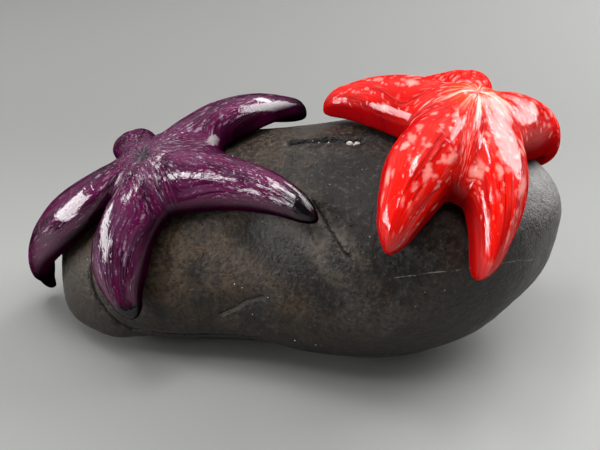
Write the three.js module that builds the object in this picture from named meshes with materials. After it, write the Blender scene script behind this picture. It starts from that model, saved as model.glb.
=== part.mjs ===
// Two glass starfish draped over one water-worn stone, in millimetres with +Z up.
//
// The stone's long way runs along X, its front faces -Y and it stands on its worn underside at z = 0.
// Each starfish is first drawn flat, as five tapering arms that melt into a disc, and is then laid over
// the stone along the shortest paths from its centre, so every arm follows the curve that it lies on.
// A thin cut parts each disc from its arms.

import * as THREE from 'three';
import { mergeVertices } from 'three/addons/utils/BufferGeometryUtils.js';

const { degToRad, lerp, smoothstep } = THREE.MathUtils;

// ---------------------------------------------------------------- driving dimensions

const ARMS = 5;
const SECTOR = (2 * Math.PI) / ARMS;

// Gaps between solids.
const BED_GAP = 0.4;
const CUT = 0.35;

// The stone before wear. Each pair is the value at the narrow left end and at the broad right end.
const STONE = {
  halfLength: 150,
  endRoundness: [2.7, 2.5],
  middleY: [20, -2],
  halfDepth: [79, 86],
  topHeight: [110, 125],
  bellyHeight: [18, 82],
  upperRoundness: 2.1,
  lowerRoundness: 2.7,
  upperBlend: [-55, 65],
  lowerBlend: [-126, 100],
  sunk: 2.5,
  heart: new THREE.Vector3(0, 8, 58),
};

// Worn hollows: each follows a straight line, fades over its width and only ever cuts inwards.
const HOLLOWS = {
  diagonalHollow: { from: [24, -30, 117], to: [46, -80, 86], width: 20, depth: 5 },
  diagonalCrease: { from: [8, -50, 102], to: [46, -84, 72], width: 7, depth: 3 },
  secondValley: { from: [-24, -48, 88], to: [16, -77, 65], width: 13, depth: 3.5 },
  undercut: { from: [-88, -50, 6], to: [-20, -58, 6], width: 13, depth: 5 },
  chip: { from: [-39, -59, 47], to: [-23, -64, 52], width: 6, depth: 1.5 },
  rightBevel: { from: [134, -50, 76], to: [124, -52, 44], width: 24, depth: 4 },
  backSaddle: { from: [-18, 96, 40], to: [6, 70, 104], width: 26, depth: 6 },
};

// A starfish: reach is from centre to arm tip, crown and tipHeight are the dome heights over the
// mid-plane, and sole is the depth below it. In each arm, head and bend are degrees off the even
// spacing and along the arm, length, width and height are factors, and lift is how far the tip rises.
// A web is how much further out than its even place the notch before the next arm lies.
const PURPLE = {
  name: 'purple',
  colour: 0x5a1a52,
  centre: [-80, -7.5],
  turn: 45.5,
  reach: 110,
  rootWidth: 14.6,
  tipWidth: 4.9,
  taper: 2.5,
  tipRound: 12.5,
  crown: 12.2,
  tipHeight: 6.8,
  sole: 6,
  melt: 3.85,
  dimple: 2,
  arms: [
    { name: 'back_right', head: -0.9, bend: 5.8, length: 1.1, width: 1.5, lift: 2.5, height: 1.35, web: -0.25 },
    { name: 'back', head: 5.3, bend: -5.7, length: 0.9, width: 0.75, lift: 0, height: 0.6, web: -0.2 },
    { name: 'left', head: 6.4, bend: -9.5, length: 1.14, width: 1.45, lift: 7.5, height: 0.95, web: -0.08 },
    { name: 'front', head: -20, bend: 15, length: 0.71, width: 1.49, lift: 3.5, height: 1, web: 0.18 },
    { name: 'right', head: 10.5, bend: -10.4, length: 0.955, width: 0.92, lift: 0, height: 1.05, web: 0.45 },
  ],
};

const RED = {
  name: 'red',
  colour: 0xd8230c,
  centre: [87, -17],
  turn: 148.5,
  reach: 92,
  rootWidth: 20,
  tipWidth: 4.7,
  taper: 1.65,
  tipRound: 11.5,
  crown: 25.5,
  tipHeight: 9.8,
  sole: 6,
  melt: 3.8,
  dimple: 2,
  arms: [
    { name: 'left', head: -14, bend: 7.8, length: 0.97, width: 1.13, lift: 0, height: 1.07, web: -0.06 },
    { name: 'front_left', head: 12.8, bend: 6, length: 0.9, width: 1.35, lift: 1.5, height: 1, web: 0.44 },
    { name: 'front_right', head: -15, bend: -7.2, length: 0.84, width: 0.98, lift: 2.7, height: 1, web: -0.1 },
    { name: 'right', head: 29.3, bend: 4.3, length: 0.98, width: 0.95, lift: 3.5, height: 1.1, web: 0 },
    { name: 'back', head: -4.2, bend: 24.5, length: 0.97, width: 1.22, lift: 14.8, height: 1.25, web: 0 },
  ],
};

// Mesh density.
const STONE_DETAIL = 10;
const DISC_RINGS = 5;
const ARM_ROWS = 10;
const HALF_ROW = 4;
const WALK_STEP = 5;

// ---------------------------------------------------------------- the stone

const blend = (pair, amount) => lerp(pair[0], pair[1], amount);

// Negative inside the smooth stone, 0 on its skin and positive outside.
function stoneLevel(p) {
  const upper = smoothstep(p.x, ...STONE.upperBlend);
  const lower = smoothstep(p.x, ...STONE.lowerBlend);
  const belly = blend(STONE.bellyHeight, lower);
  const above = p.z > belly;
  const height = above ? blend(STONE.topHeight, upper) - belly : belly + STONE.sunk;
  const across = Math.abs(p.y - blend(STONE.middleY, upper)) / blend(STONE.halfDepth, upper);
  const up = Math.abs(p.z - belly) / height;
  const along = Math.abs(p.x) / STONE.halfLength;
  const k = above ? STONE.upperRoundness : STONE.lowerRoundness;
  const n = STONE.endRoundness[p.x > 0 ? 1 : 0];
  const section = (across ** k + up ** k) ** (1 / k);
  return (along ** n + section ** n) ** (1 / n) - 1;
}

function stoneSlope(p) {
  const h = 0.5;
  const slope = new THREE.Vector3();
  for (const axis of ['x', 'y', 'z']) {
    const ahead = p.clone();
    const behind = p.clone();
    ahead[axis] += h;
    behind[axis] -= h;
    slope[axis] = (stoneLevel(ahead) - stoneLevel(behind)) / (2 * h);
  }
  return slope;
}

// Moves a nearby point onto the stone's skin, straight along the slope.
function settle(p) {
  for (let pass = 0; pass < 2; pass += 1) {
    const slope = stoneSlope(p);
    p.addScaledVector(slope, -stoneLevel(p) / slope.lengthSq());
  }
  return p;
}

// Halves an interval until it brackets the value where isInside turns false.
function bisect(low, high, isInside) {
  let [inside, outside] = [low, high];
  for (let pass = 0; pass < 40; pass += 1) {
    const middle = (inside + outside) / 2;
    if (isInside(middle)) inside = middle;
    else outside = middle;
  }
  return (inside + outside) / 2;
}

function wearDepth(p) {
  const nearest = new THREE.Vector3();
  let total = 0;
  for (const hollow of Object.values(HOLLOWS)) {
    const line = new THREE.Line3(new THREE.Vector3(...hollow.from), new THREE.Vector3(...hollow.to));
    line.closestPointToPoint(p, true, nearest);
    total += hollow.depth * Math.exp(-((nearest.distanceTo(p) / hollow.width) ** 2));
  }
  return total;
}

function stoneGeometry() {
  const ball = new THREE.IcosahedronGeometry(1, STONE_DETAIL);
  ball.deleteAttribute('normal');
  ball.deleteAttribute('uv');
  const geometry = mergeVertices(ball, 1e-4);
  const spread = new THREE.Vector3(STONE.halfLength, STONE.halfDepth[0], STONE.heart.z);
  const position = geometry.getAttribute('position');
  const way = new THREE.Vector3();
  const point = new THREE.Vector3();
  for (let i = 0; i < position.count; i += 1) {
    way.fromBufferAttribute(position, i).multiply(spread).normalize();
    const at = (radius) => point.copy(STONE.heart).addScaledVector(way, radius);
    at(bisect(0, 2 * STONE.halfLength, (radius) => stoneLevel(at(radius)) < 0));
    point.addScaledVector(stoneSlope(point).normalize(), -wearDepth(point));
    position.setXYZ(i, point.x, point.y, Math.max(0, point.z));
  }
  return geometry;
}

// ---------------------------------------------------------------- the flat starfish

// 1 on an arm's middle line, 0 on the outline and negative outside. The arms join by a smooth
// maximum, which rounds the webs between them. The arm in question lies along +X.
function fullness(star, x, y) {
  let total = 0;
  for (let k = 0; k < ARMS; k += 1) {
    const cos = Math.cos(k * SECTOR);
    const sin = Math.sin(k * SECTOR);
    const along = x * cos + y * sin;
    const across = y * cos - x * sin;
    const reached = Math.min(1, Math.max(0, along / star.reach));
    const width = lerp(star.rootWidth, star.tipWidth, reached ** star.taper);
    const pastTip = Math.max(0, along - (star.reach - star.tipRound)) / star.tipRound;
    const pastBack = Math.max(0, -along) / (0.8 * star.rootWidth);
    const value = 1 - (across / width) ** 2 - pastTip ** 2 - pastBack ** 2;
    total += Math.exp(star.melt * Math.max(-8, value));
  }
  return Math.log(total) / star.melt;
}

// How far along an arm the webs end, where two arms' outlines meet on the line between them.
function notchRow(star) {
  const slope = Math.tan(SECTOR / 2);
  return bisect(5, star.reach, (x) => fullness(star, x, x * slope) > 0);
}

function halfWidth(star, x) {
  return bisect(0, x * Math.tan(SECTOR / 2), (y) => fullness(star, x, y) > 0);
}

// ---------------------------------------------------------------- laying it over the stone

function starFrame(star) {
  const [x, y] = star.centre;
  const z = bisect(STONE.heart.z, 2 * STONE.halfLength, (h) => stoneLevel(new THREE.Vector3(x, y, h)) < 0);
  const foot = new THREE.Vector3(x, y, z);
  const up = stoneSlope(foot).normalize();
  const right = new THREE.Vector3(1, 0, 0).projectOnPlane(up).normalize();
  return { foot, right, ahead: up.clone().cross(right) };
}

// Walks a distance over the stone's skin in a straight line and returns the point and its normal.
function walk(frame, heading, distance) {
  const steps = Math.max(1, Math.ceil(distance / WALK_STEP));
  const point = frame.foot.clone();
  const way = frame.right.clone().multiplyScalar(Math.cos(heading));
  way.addScaledVector(frame.ahead, Math.sin(heading));
  for (let i = 0; i < steps; i += 1) {
    way.projectOnPlane(stoneSlope(point).normalize()).normalize();
    const next = settle(point.clone().addScaledVector(way, distance / steps));
    if (next.distanceToSquared(point) > 1e-12) way.subVectors(next, point).normalize();
    point.copy(next);
  }
  return { point, normal: stoneSlope(point).normalize() };
}

// Gives the upper and lower point of the glass over one place of the flat drawing.
function drape(star, frame, k, x, y, isRim) {
  const distance = Math.hypot(x, y);
  const angle = Math.atan2(y, x);
  const share = smoothstep(Math.abs(angle / SECTOR), 0, 1);
  const here = star.arms[k];
  const next = star.arms[(k + (angle > 0 ? 1 : ARMS - 1)) % ARMS];
  const mixed = (key) => lerp(here[key], next[key], share);
  const reached = Math.min(1, distance / star.reach);
  const offSeam = 1 - Math.min(1, Math.abs(2 * angle) / SECTOR) ** 2;
  const fan = angle * lerp(1, mixed('width'), offSeam * smoothstep(reached, 0.15, 0.6));
  const heading = degToRad(star.turn + mixed('head') + mixed('bend') * reached ** 2) + k * SECTOR + fan;
  const web = (angle > 0 ? here : star.arms[(k + ARMS - 1) % ARMS]).web;
  const nearSeam = smoothstep(Math.abs(2 * angle) / SECTOR, 0.35, 1) * smoothstep(reached, 0.05, 0.25);
  const stretch = lerp(1, mixed('length'), smoothstep(reached, 0.25, 1)) * (1 + web * nearSeam);
  const { point, normal } = walk(frame, heading, distance * stretch);
  const full = isRim ? 0 : Math.max(0, fullness(star, x, y));
  const midway = smoothstep(reached, 0.1, 0.45) - smoothstep(reached, 0.6, 1);
  const fed = lerp(1, mixed('height'), midway);
  const dome = fed * lerp(star.crown, star.tipHeight, reached ** star.taper);
  const rise = mixed('lift') * Math.max(0, (reached - 0.35) / 0.65) ** 2;
  const waist = BED_GAP + star.sole + rise;
  const pinch = star.dimple * Math.exp(-((distance / 6) ** 2));
  const over = waist + dome * Math.sqrt(full) - pinch;
  const under = waist - star.sole * Math.min(1, full) ** 0.25 * Math.min(1, dome / star.crown + 0.25);
  return {
    upper: point.clone().addScaledVector(normal, over),
    lower: point.clone().addScaledVector(normal, under),
  };
}

// Collects shared points and triangles, and gives one closed geometry that faces outwards.
class Shell {
  constructor() {
    this.points = [];
    this.triangles = [];
  }

  add(point) {
    this.points.push(point.x, point.y, point.z);
    return this.points.length / 3 - 1;
  }

  quad(a, b, c, d) {
    if (a !== b && b !== c && a !== c) this.triangles.push(a, b, c);
    if (a !== c && c !== d && a !== d) this.triangles.push(a, c, d);
  }

  geometry() {
    const geometry = new THREE.BufferGeometry();
    geometry.setAttribute('position', new THREE.Float32BufferAttribute(this.points, 3));
    geometry.setIndex(this.triangles);
    return geometry;
  }
}

// Points across a row: even near the centre, and closer toward the rim out on the arm.
function rowPoints(star, notch, x) {
  const half = x > notch ? halfWidth(star, x) : x * Math.tan(SECTOR / 2);
  const crowding = smoothstep(x, 0.4 * notch, notch);
  const row = [];
  for (let j = -HALF_ROW; j <= HALF_ROW; j += 1) {
    const v = j / HALF_ROW;
    row.push(half * lerp(v, Math.sin((v * Math.PI) / 2), crowding));
  }
  return row;
}

function discGeometry(star, frame, notch) {
  const shell = new Shell();
  const middle = drape(star, frame, 0, 0, 0, false);
  const top = shell.add(middle.upper);
  const bottom = shell.add(middle.lower);
  const around = ARMS * 2 * HALF_ROW;
  let inner = { upper: Array(around).fill(top), lower: Array(around).fill(bottom) };
  for (let ring = 1; ring <= DISC_RINGS; ring += 1) {
    const x = notch * (1 - (1 - ring / DISC_RINGS) ** 1.5);
    const row = rowPoints(star, notch, x);
    const outer = { upper: [], lower: [] };
    for (let k = 0; k < ARMS; k += 1) {
      for (let j = 0; j < 2 * HALF_ROW; j += 1) {
        const isRim = ring === DISC_RINGS && j === 0;
        const pair = drape(star, frame, k, x, row[j], isRim);
        const upper = shell.add(pair.upper);
        outer.upper.push(upper);
        outer.lower.push(isRim ? upper : shell.add(pair.lower));
      }
    }
    for (let j = 0; j < around; j += 1) {
      const n = (j + 1) % around;
      shell.quad(inner.upper[j], outer.upper[j], outer.upper[n], inner.upper[n]);
      shell.quad(inner.lower[n], outer.lower[n], outer.lower[j], inner.lower[j]);
    }
    inner = outer;
  }
  for (let j = 0; j < around; j += 1) {
    const n = (j + 1) % around;
    shell.quad(inner.lower[j], inner.lower[n], inner.upper[n], inner.upper[j]);
  }
  return shell.geometry();
}

function armGeometry(star, frame, notch, k) {
  const shell = new Shell();
  const start = notch + CUT;
  const last = 2 * HALF_ROW;
  let inner = null;
  for (let i = 0; i < ARM_ROWS; i += 1) {
    const t = i / ARM_ROWS;
    const x = lerp(start, star.reach, lerp(t, Math.sin((t * Math.PI) / 2), 0.75));
    const outer = { upper: [], lower: [] };
    rowPoints(star, notch, x).forEach((y, j) => {
      const isRim = j === 0 || j === last;
      const pair = drape(star, frame, k, x, y, isRim);
      const upper = shell.add(pair.upper);
      outer.upper.push(upper);
      outer.lower.push(isRim ? upper : shell.add(pair.lower));
    });
    for (let j = 0; j < last; j += 1) {
      if (inner) {
        shell.quad(inner.upper[j], outer.upper[j], outer.upper[j + 1], inner.upper[j + 1]);
        shell.quad(inner.lower[j + 1], outer.lower[j + 1], outer.lower[j], inner.lower[j]);
      } else {
        shell.quad(outer.lower[j], outer.upper[j], outer.upper[j + 1], outer.lower[j + 1]);
      }
    }
    inner = outer;
  }
  const tip = shell.add(drape(star, frame, k, star.reach, 0, true).upper);
  for (let j = 0; j < last; j += 1) {
    shell.quad(inner.upper[j], tip, tip, inner.upper[j + 1]);
    shell.quad(inner.lower[j + 1], tip, tip, inner.lower[j]);
  }
  return shell.geometry();
}

// ---------------------------------------------------------------- the sculpture

function namedMesh(name, geometry, material) {
  const mesh = new THREE.Mesh(geometry, material);
  mesh.name = name;
  return mesh;
}

function buildStone() {
  const material = new THREE.MeshStandardMaterial({ color: 0x3a3a38, roughness: 0.55, metalness: 0 });
  return namedMesh('stone', stoneGeometry(), material);
}

function buildStar(star) {
  const glass = () => new THREE.MeshStandardMaterial({ color: star.colour, roughness: 0.08, metalness: 0 });
  const frame = starFrame(star);
  const notch = notchRow(star);
  const meshes = [namedMesh(`${star.name}_disc`, discGeometry(star, frame, notch), glass())];
  star.arms.forEach((arm, k) => {
    meshes.push(namedMesh(`${star.name}_arm_${arm.name}`, armGeometry(star, frame, notch, k), glass()));
  });
  return meshes;
}

const sculpture = new THREE.Group();
sculpture.add(buildStone(), ...buildStar(PURPLE), ...buildStar(RED));

// The origin is under the middle of the whole sculpture, on the surface that it stands on.
const extent = new THREE.Box3().setFromObject(sculpture, true);
const middle = extent.getCenter(new THREE.Vector3());
sculpture.position.set(-middle.x, -middle.y, -extent.min.z);

const group = new THREE.Group();
group.add(sculpture);
export default group;
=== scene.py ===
"""Two hand-worked glass starfish, one purple and one red, lying over one dark water-worn stone.

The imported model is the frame. The shapes are worked out in millimetres on the sculptor's own axes,
with X along the stone and Z up from the surface that it stands on, and every finished mesh is then
set down, in metres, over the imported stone.
"""

import logging
import math
from collections.abc import Callable
from dataclasses import dataclass, field
from enum import Enum
from itertools import combinations

import bmesh
import bpy
import numpy as np
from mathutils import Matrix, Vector


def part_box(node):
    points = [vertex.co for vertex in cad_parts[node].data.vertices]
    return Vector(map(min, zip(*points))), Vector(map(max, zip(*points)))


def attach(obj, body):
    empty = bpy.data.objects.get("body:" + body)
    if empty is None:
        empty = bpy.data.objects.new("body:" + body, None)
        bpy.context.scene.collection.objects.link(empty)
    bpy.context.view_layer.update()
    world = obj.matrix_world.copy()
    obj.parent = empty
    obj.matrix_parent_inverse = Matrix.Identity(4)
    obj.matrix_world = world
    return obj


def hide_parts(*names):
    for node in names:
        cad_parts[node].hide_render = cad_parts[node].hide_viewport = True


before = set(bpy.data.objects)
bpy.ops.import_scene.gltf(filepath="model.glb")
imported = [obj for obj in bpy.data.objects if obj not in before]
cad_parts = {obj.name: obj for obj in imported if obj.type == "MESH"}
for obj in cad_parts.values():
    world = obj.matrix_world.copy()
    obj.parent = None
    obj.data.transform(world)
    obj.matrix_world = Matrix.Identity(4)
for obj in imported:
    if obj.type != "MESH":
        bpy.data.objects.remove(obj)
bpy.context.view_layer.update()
STONE_LOW, STONE_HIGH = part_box("stone")

log = logging.getLogger("starfish")

Pair = tuple[float, float]
Point = tuple[float, float, float]
Colour = tuple[float, float, float]

MM = 0.001
ARMS = 5
SECTOR = 2 * math.pi / ARMS
HALF_SECTOR_SLOPE = math.tan(SECTOR / 2)
HALVINGS = 40
TINY = 1e-6
BLACK = (0.0, 0.0, 0.0)


class Slot(Enum):
    """The record's material slots."""

    STONE = "stone"
    PURPLE = "purple_glass"
    RED = "red_glass"


# ---------------------------------------------------------------- small maths


def mix(low: float, high: float, share: np.ndarray | float) -> np.ndarray | float:
    """Goes from low to high as share goes from 0 to 1."""
    return low + (high - low) * share


def smoothstep(value: np.ndarray | float, low: float, high: float) -> np.ndarray | float:
    """Rises smoothly from 0 at low to 1 at high."""
    share = np.clip((value - low) / (high - low), 0.0, 1.0)
    return share * share * (3 - 2 * share)


def unit(vectors: np.ndarray) -> np.ndarray:
    """Scales each vector to length 1."""
    return vectors / np.maximum(np.linalg.norm(vectors, axis=-1, keepdims=True), TINY**2)


def along_slope(vectors: np.ndarray, normals: np.ndarray) -> np.ndarray:
    """Takes away each vector's part along its normal and scales the rest to length 1."""
    return unit(vectors - normals * np.sum(vectors * normals, axis=-1, keepdims=True))


def border(inside: Callable, near: np.ndarray | float, far: np.ndarray | float) -> np.ndarray:
    """Halves the way between inside and outside again and again.

    Args:
        inside: Tells whether each of the values it is given is inside.
        near: Values that are inside.
        far: Values that are outside.

    Returns:
        The values at which inside ends.
    """
    for _ in range(HALVINGS):
        middle = (near + far) / 2
        within = inside(middle)
        near = np.where(within, middle, near)
        far = np.where(within, far, middle)
    return near


# ---------------------------------------------------------------- node trees


class Wire:
    """One output socket that takes part in Python maths; each operator adds its Math node."""

    def __init__(self, sheet: "Sheet", socket: bpy.types.NodeSocket) -> None:
        """Keeps the socket and the sheet that it is drawn on."""
        self.sheet = sheet
        self.socket = socket

    def _math(self, operation: str, *values: "Wire | float") -> "Wire":
        """Adds one Math node over the values and gives its result."""
        made = self.sheet.node("ShaderNodeMath", {"operation": operation}, dict(enumerate(values)))
        return made["Value"]

    def __add__(self, other: "Wire | float") -> "Wire":
        """Gives self + other."""
        return self._math("ADD", self, other)

    def __sub__(self, other: "Wire | float") -> "Wire":
        """Gives self - other."""
        return self._math("SUBTRACT", self, other)

    def __rsub__(self, other: float) -> "Wire":
        """Gives other - self."""
        return self._math("SUBTRACT", other, self)

    def __mul__(self, other: "Wire | float") -> "Wire":
        """Gives self * other."""
        return self._math("MULTIPLY", self, other)

    def __rtruediv__(self, other: float) -> "Wire":
        """Gives other / self."""
        return self._math("DIVIDE", other, self)

    def __neg__(self) -> "Wire":
        """Gives the negative."""
        return self._math("MULTIPLY", self, -1.0)

    def __abs__(self) -> "Wire":
        """Gives the size without its sign."""
        return self._math("ABSOLUTE", self)

    __radd__ = __add__
    __rmul__ = __mul__

    def most(self, other: "Wire | float") -> "Wire":
        """Gives the larger of the two."""
        return self._math("MAXIMUM", self, other)

    def least(self, other: "Wire | float") -> "Wire":
        """Gives the smaller of the two."""
        return self._math("MINIMUM", self, other)

    def fade(self, low: "Wire | float", high: "Wire | float") -> "Wire":
        """Rises smoothly from 0 at low to 1 at high, or falls where low is the larger."""
        sockets = {"Value": self, "From Min": low, "From Max": high}
        return self.sheet.node("ShaderNodeMapRange", {"interpolation_type": "SMOOTHSTEP"}, sockets)["Result"]


class Made:
    """A node on a sheet, whose outputs are read by name."""

    def __init__(self, sheet: "Sheet", node: bpy.types.Node) -> None:
        """Keeps the node and its sheet."""
        self.sheet = sheet
        self.node = node

    def __getitem__(self, name: str) -> Wire:
        """Gives the output with that identifier, or else with that name."""
        outputs = self.node.outputs
        found = next((socket for socket in outputs if socket.identifier == name), None)
        return Wire(self.sheet, found or outputs[name])


class Sheet:
    """A node tree under construction, for a material or for Geometry Nodes."""

    def __init__(self, tree: bpy.types.NodeTree) -> None:
        """Starts on a tree that is empty or holds only its own ends."""
        self.tree = tree

    def node(self, kind: str, settings: dict | None = None, sockets: dict | None = None) -> Made:
        """Adds one node.

        Args:
            kind: The node's type.
            settings: Its own properties, set before its sockets.
            sockets: Values or wires by the input's place, identifier or name.

        Returns:
            The node, whose outputs are read by name.
        """
        node = self.tree.nodes.new(kind)
        for name, value in (settings or {}).items():
            setattr(node, name, value)
        self.feed(node, sockets or {})
        return Made(self, node)

    def feed(self, node: bpy.types.Node, sockets: dict) -> None:
        """Sets or links some of a node's inputs.

        Args:
            node: The node that is fed.
            sockets: Values or wires by the input's place, identifier or name.
        """
        for key, value in sockets.items():
            found = next((socket for socket in node.inputs if socket.identifier == key), None)
            socket = found or node.inputs[key]
            if isinstance(value, Wire):
                self.tree.links.new(value.socket, socket)
            else:
                socket.default_value = value

    def stretch(self, vector: Wire, factors: Wire | Point) -> Wire:
        """Multiplies a vector's parts by three factors."""
        sockets = {0: vector, 1: factors}
        return self.node("ShaderNodeVectorMath", {"operation": "MULTIPLY"}, sockets)["Vector"]

    def shift(self, vector: Wire, other: Wire | Point) -> Wire:
        """Adds two vectors."""
        return self.node("ShaderNodeVectorMath", {"operation": "ADD"}, {0: vector, 1: other})["Vector"]

    def scaled(self, vector: Wire, factor: Wire | float) -> Wire:
        """Makes a vector longer or shorter by a factor."""
        sockets = {0: vector, "Scale": factor}
        return self.node("ShaderNodeVectorMath", {"operation": "SCALE"}, sockets)["Vector"]

    def parts(self, vector: Wire) -> tuple[Wire, Wire, Wire]:
        """Splits a vector into its three parts."""
        made = self.node("ShaderNodeSeparateXYZ", None, {0: vector})
        return made["X"], made["Y"], made["Z"]

    def in_sizes(self, vector: Wire, size: Wire | float | tuple) -> Wire:
        """Counts a vector in sizes instead of in units.

        Args:
            vector: The vector.
            size: One size, or one for each of the vector's parts.

        Returns:
            The vector divided by the size.
        """
        if not isinstance(size, tuple):
            return self.scaled(vector, 1 / size)
        factors = tuple(1 / part for part in size)
        if isinstance(factors[0], Wire):
            factors = self.node("ShaderNodeCombineXYZ", None, dict(enumerate(factors)))["Vector"]
        return self.stretch(vector, factors)

    def place(self) -> Wire:
        """Gives each place on the piece in a material, in millimetres."""
        return self.scaled(self.node("ShaderNodeTexCoord")["Object"], 1 / MM)

    def read(self, name: str) -> Made:
        """Reads one of the piece's attributes in a material."""
        return self.node("ShaderNodeAttribute", {"attribute_name": name})

    def noise(self, vector: Wire, size: Wire | float | tuple, detail: float, roughness: float = 0.5,
              bend: float = 0.0, seed: Wire | float = 0.0) -> Made:
        """Adds a noise.

        Args:
            vector: Where the noise is read.
            size: How far apart its features are, in all or in each direction.
            detail: How many finer layers it has.
            roughness: How strong the finer layers are.
            bend: How far the noise is bent by itself.
            seed: Which of the many such noises it is.

        Returns:
            The node; its Fac runs from 0 to 1 and is mostly from 0.3 to 0.7.
        """
        sockets = {"Vector": self.in_sizes(vector, size), "W": seed, "Scale": 1.0, "Detail": detail,
                   "Roughness": roughness, "Distortion": bend}
        return self.node("ShaderNodeTexNoise", {"noise_dimensions": "4D"}, sockets)

    def stray(self, vector: Wire, size: Wire | float, reach: Wire | float, detail: float,
              seed: Wire | float) -> Wire:
        """Gives small random moves.

        Args:
            vector: Where they are read.
            size: How far apart two different moves are.
            reach: How long the moves are.
            detail: How many finer layers they have.
            seed: Which of the many such patterns it is.

        Returns:
            The move at each place.
        """
        noise = self.noise(vector, size, detail, seed=seed)["Color"]
        return self.scaled(self.shift(noise, (-0.5, -0.5, -0.5)), reach)

    def cells(self, vector: Wire, size: Wire | float | tuple) -> Made:
        """Adds round cells a size apart, with Distance and a random Color for each cell."""
        sockets = {"Vector": self.in_sizes(vector, size), "Scale": 1.0, "Randomness": 1.0}
        return self.node("ShaderNodeTexVoronoi", None, sockets)

    def tint(self, share: Wire | float, low: Wire | Colour, high: Wire | Colour) -> Wire:
        """Mixes two colours.

        Args:
            share: 0 gives the first and 1 the second.
            low: The first colour.
            high: The second colour.

        Returns:
            The mixed colour.
        """
        sockets = {"Factor_Float": share}
        for key, colour in (("A_Color", low), ("B_Color", high)):
            sockets[key] = colour if isinstance(colour, Wire) else (*colour, 1.0)
        settings = {"data_type": "RGBA", "clamp_factor": True}
        return self.node("ShaderNodeMix", settings, sockets)["Result_Color"]

    def washed(self, colour: Wire | Colour, washes: tuple) -> Wire:
        """Lays washes over a colour, one after another.

        Args:
            colour: The colour below them.
            washes: For each wash where it lies, its strength and its colour.

        Returns:
            The colour.
        """
        for where, strength, wash in washes:
            colour = self.tint(where * strength, colour, wash)
        return colour

    def relief(self, height: Wire, depth: float) -> Wire:
        """Adds a bump, whose relief of 1 stands so many millimetres high, and gives its normal."""
        sockets = {"Height": height, "Distance": depth * MM, "Strength": 1.0}
        return self.node("ShaderNodeBump", None, sockets)["Normal"]


class Jig:
    """A Geometry Nodes group under construction, with named inputs for its sizes in millimetres."""

    def __init__(self, name: str) -> None:
        """Starts a group that takes and gives one geometry.

        Args:
            name: The group's name.
        """
        self.group = bpy.data.node_groups.new(name, "GeometryNodeTree")
        self.sheet = Sheet(self.group)
        self.values: dict[str, float] = {}
        for way in ("INPUT", "OUTPUT"):
            self.group.interface.new_socket("Geometry", in_out=way, socket_type="NodeSocketGeometry")
        self.start = self.sheet.node("NodeGroupInput")
        self.end = self.sheet.node("NodeGroupOutput")

    def size(self, name: str, value: float) -> Wire:
        """Adds a named input.

        Args:
            name: The input's name.
            value: What the modifier gives it.

        Returns:
            The input, ready for maths.
        """
        self.group.interface.new_socket(name, in_out="INPUT", socket_type="NodeSocketFloat")
        self.values[name] = float(value)
        return self.start[name]

    def attribute(self, name: str, kind: str = "FLOAT_VECTOR") -> Wire:
        """Reads a named attribute of the geometry."""
        sockets = {"Name": name}
        return self.sheet.node("GeometryNodeInputNamedAttribute", {"data_type": kind}, sockets)["Attribute"]

    def place(self) -> Wire:
        """Gives each point's place, in millimetres."""
        return self.sheet.scaled(self.sheet.node("GeometryNodeInputPosition")["Position"], 1 / MM)

    def outwards(self, distance: Wire) -> Wire:
        """Gives a move of a distance straight out of the skin."""
        return self.sheet.scaled(self.sheet.node("GeometryNodeInputNormal")["Normal"], distance)

    def finish(self, geometry: Wire, move: Wire, material: bpy.types.Material) -> None:
        """Ends the tree with real geometry in its material.

        Args:
            geometry: The geometry.
            move: How far each of its points is moved, in millimetres.
            material: The material.
        """
        sockets = {"Geometry": geometry, "Offset": self.sheet.scaled(move, MM)}
        moved = self.sheet.node("GeometryNodeSetPosition", None, sockets)
        real = self.sheet.node("GeometryNodeRealizeInstances", None, {"Geometry": moved["Geometry"]})
        sockets = {"Geometry": real["Geometry"], "Material": material}
        dressed = self.sheet.node("GeometryNodeSetMaterial", None, sockets)
        self.sheet.feed(self.end.node, {"Geometry": dressed["Geometry"]})

    def run(self, piece: bpy.types.Object) -> None:
        """Runs the group and leaves the result as the piece's plain mesh, with no modifier.

        Args:
            piece: The piece, whose mesh is the group's input.
        """
        modifier = piece.modifiers.new(self.group.name, "NODES")
        modifier.node_group = self.group
        for item in self.group.interface.items_tree:
            if item.item_type == "SOCKET" and item.in_out == "INPUT" and item.name in self.values:
                modifier[item.identifier] = self.values[item.name]
        graph = bpy.context.evaluated_depsgraph_get()
        evaluated = piece.evaluated_get(graph)
        mesh = bpy.data.meshes.new_from_object(evaluated, preserve_all_data_layers=True, depsgraph=graph)
        piece.modifiers.clear()
        piece.data = mesh
        smooth_closed(piece)


# ---------------------------------------------------------------- meshes


def new_piece(name: str, points: np.ndarray, faces: list, values: dict[str, np.ndarray],
              edges: list | None = None) -> bpy.types.Object:
    """Makes an object from points in millimetres.

    Args:
        name: The piece's name.
        points: One row for each point, already in the frame's place.
        faces: Point numbers of each face, seen from outside.
        values: Point attributes by name, of one or three numbers a point.
        edges: Point numbers of each edge that belongs to no face.

    Returns:
        The new object.
    """
    mesh = bpy.data.meshes.new(name)
    mesh.from_pydata((points * MM).tolist(), edges or [], faces)
    for key, rows in values.items():
        kind, slot = ("FLOAT", "value") if rows.ndim == 1 else ("FLOAT_VECTOR", "vector")
        attribute = mesh.attributes.new(key, kind, "POINT")
        attribute.data.foreach_set(slot, rows.astype(np.float32).ravel())
    piece = bpy.data.objects.new(name, mesh)
    bpy.context.scene.collection.objects.link(piece)
    return piece


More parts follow.
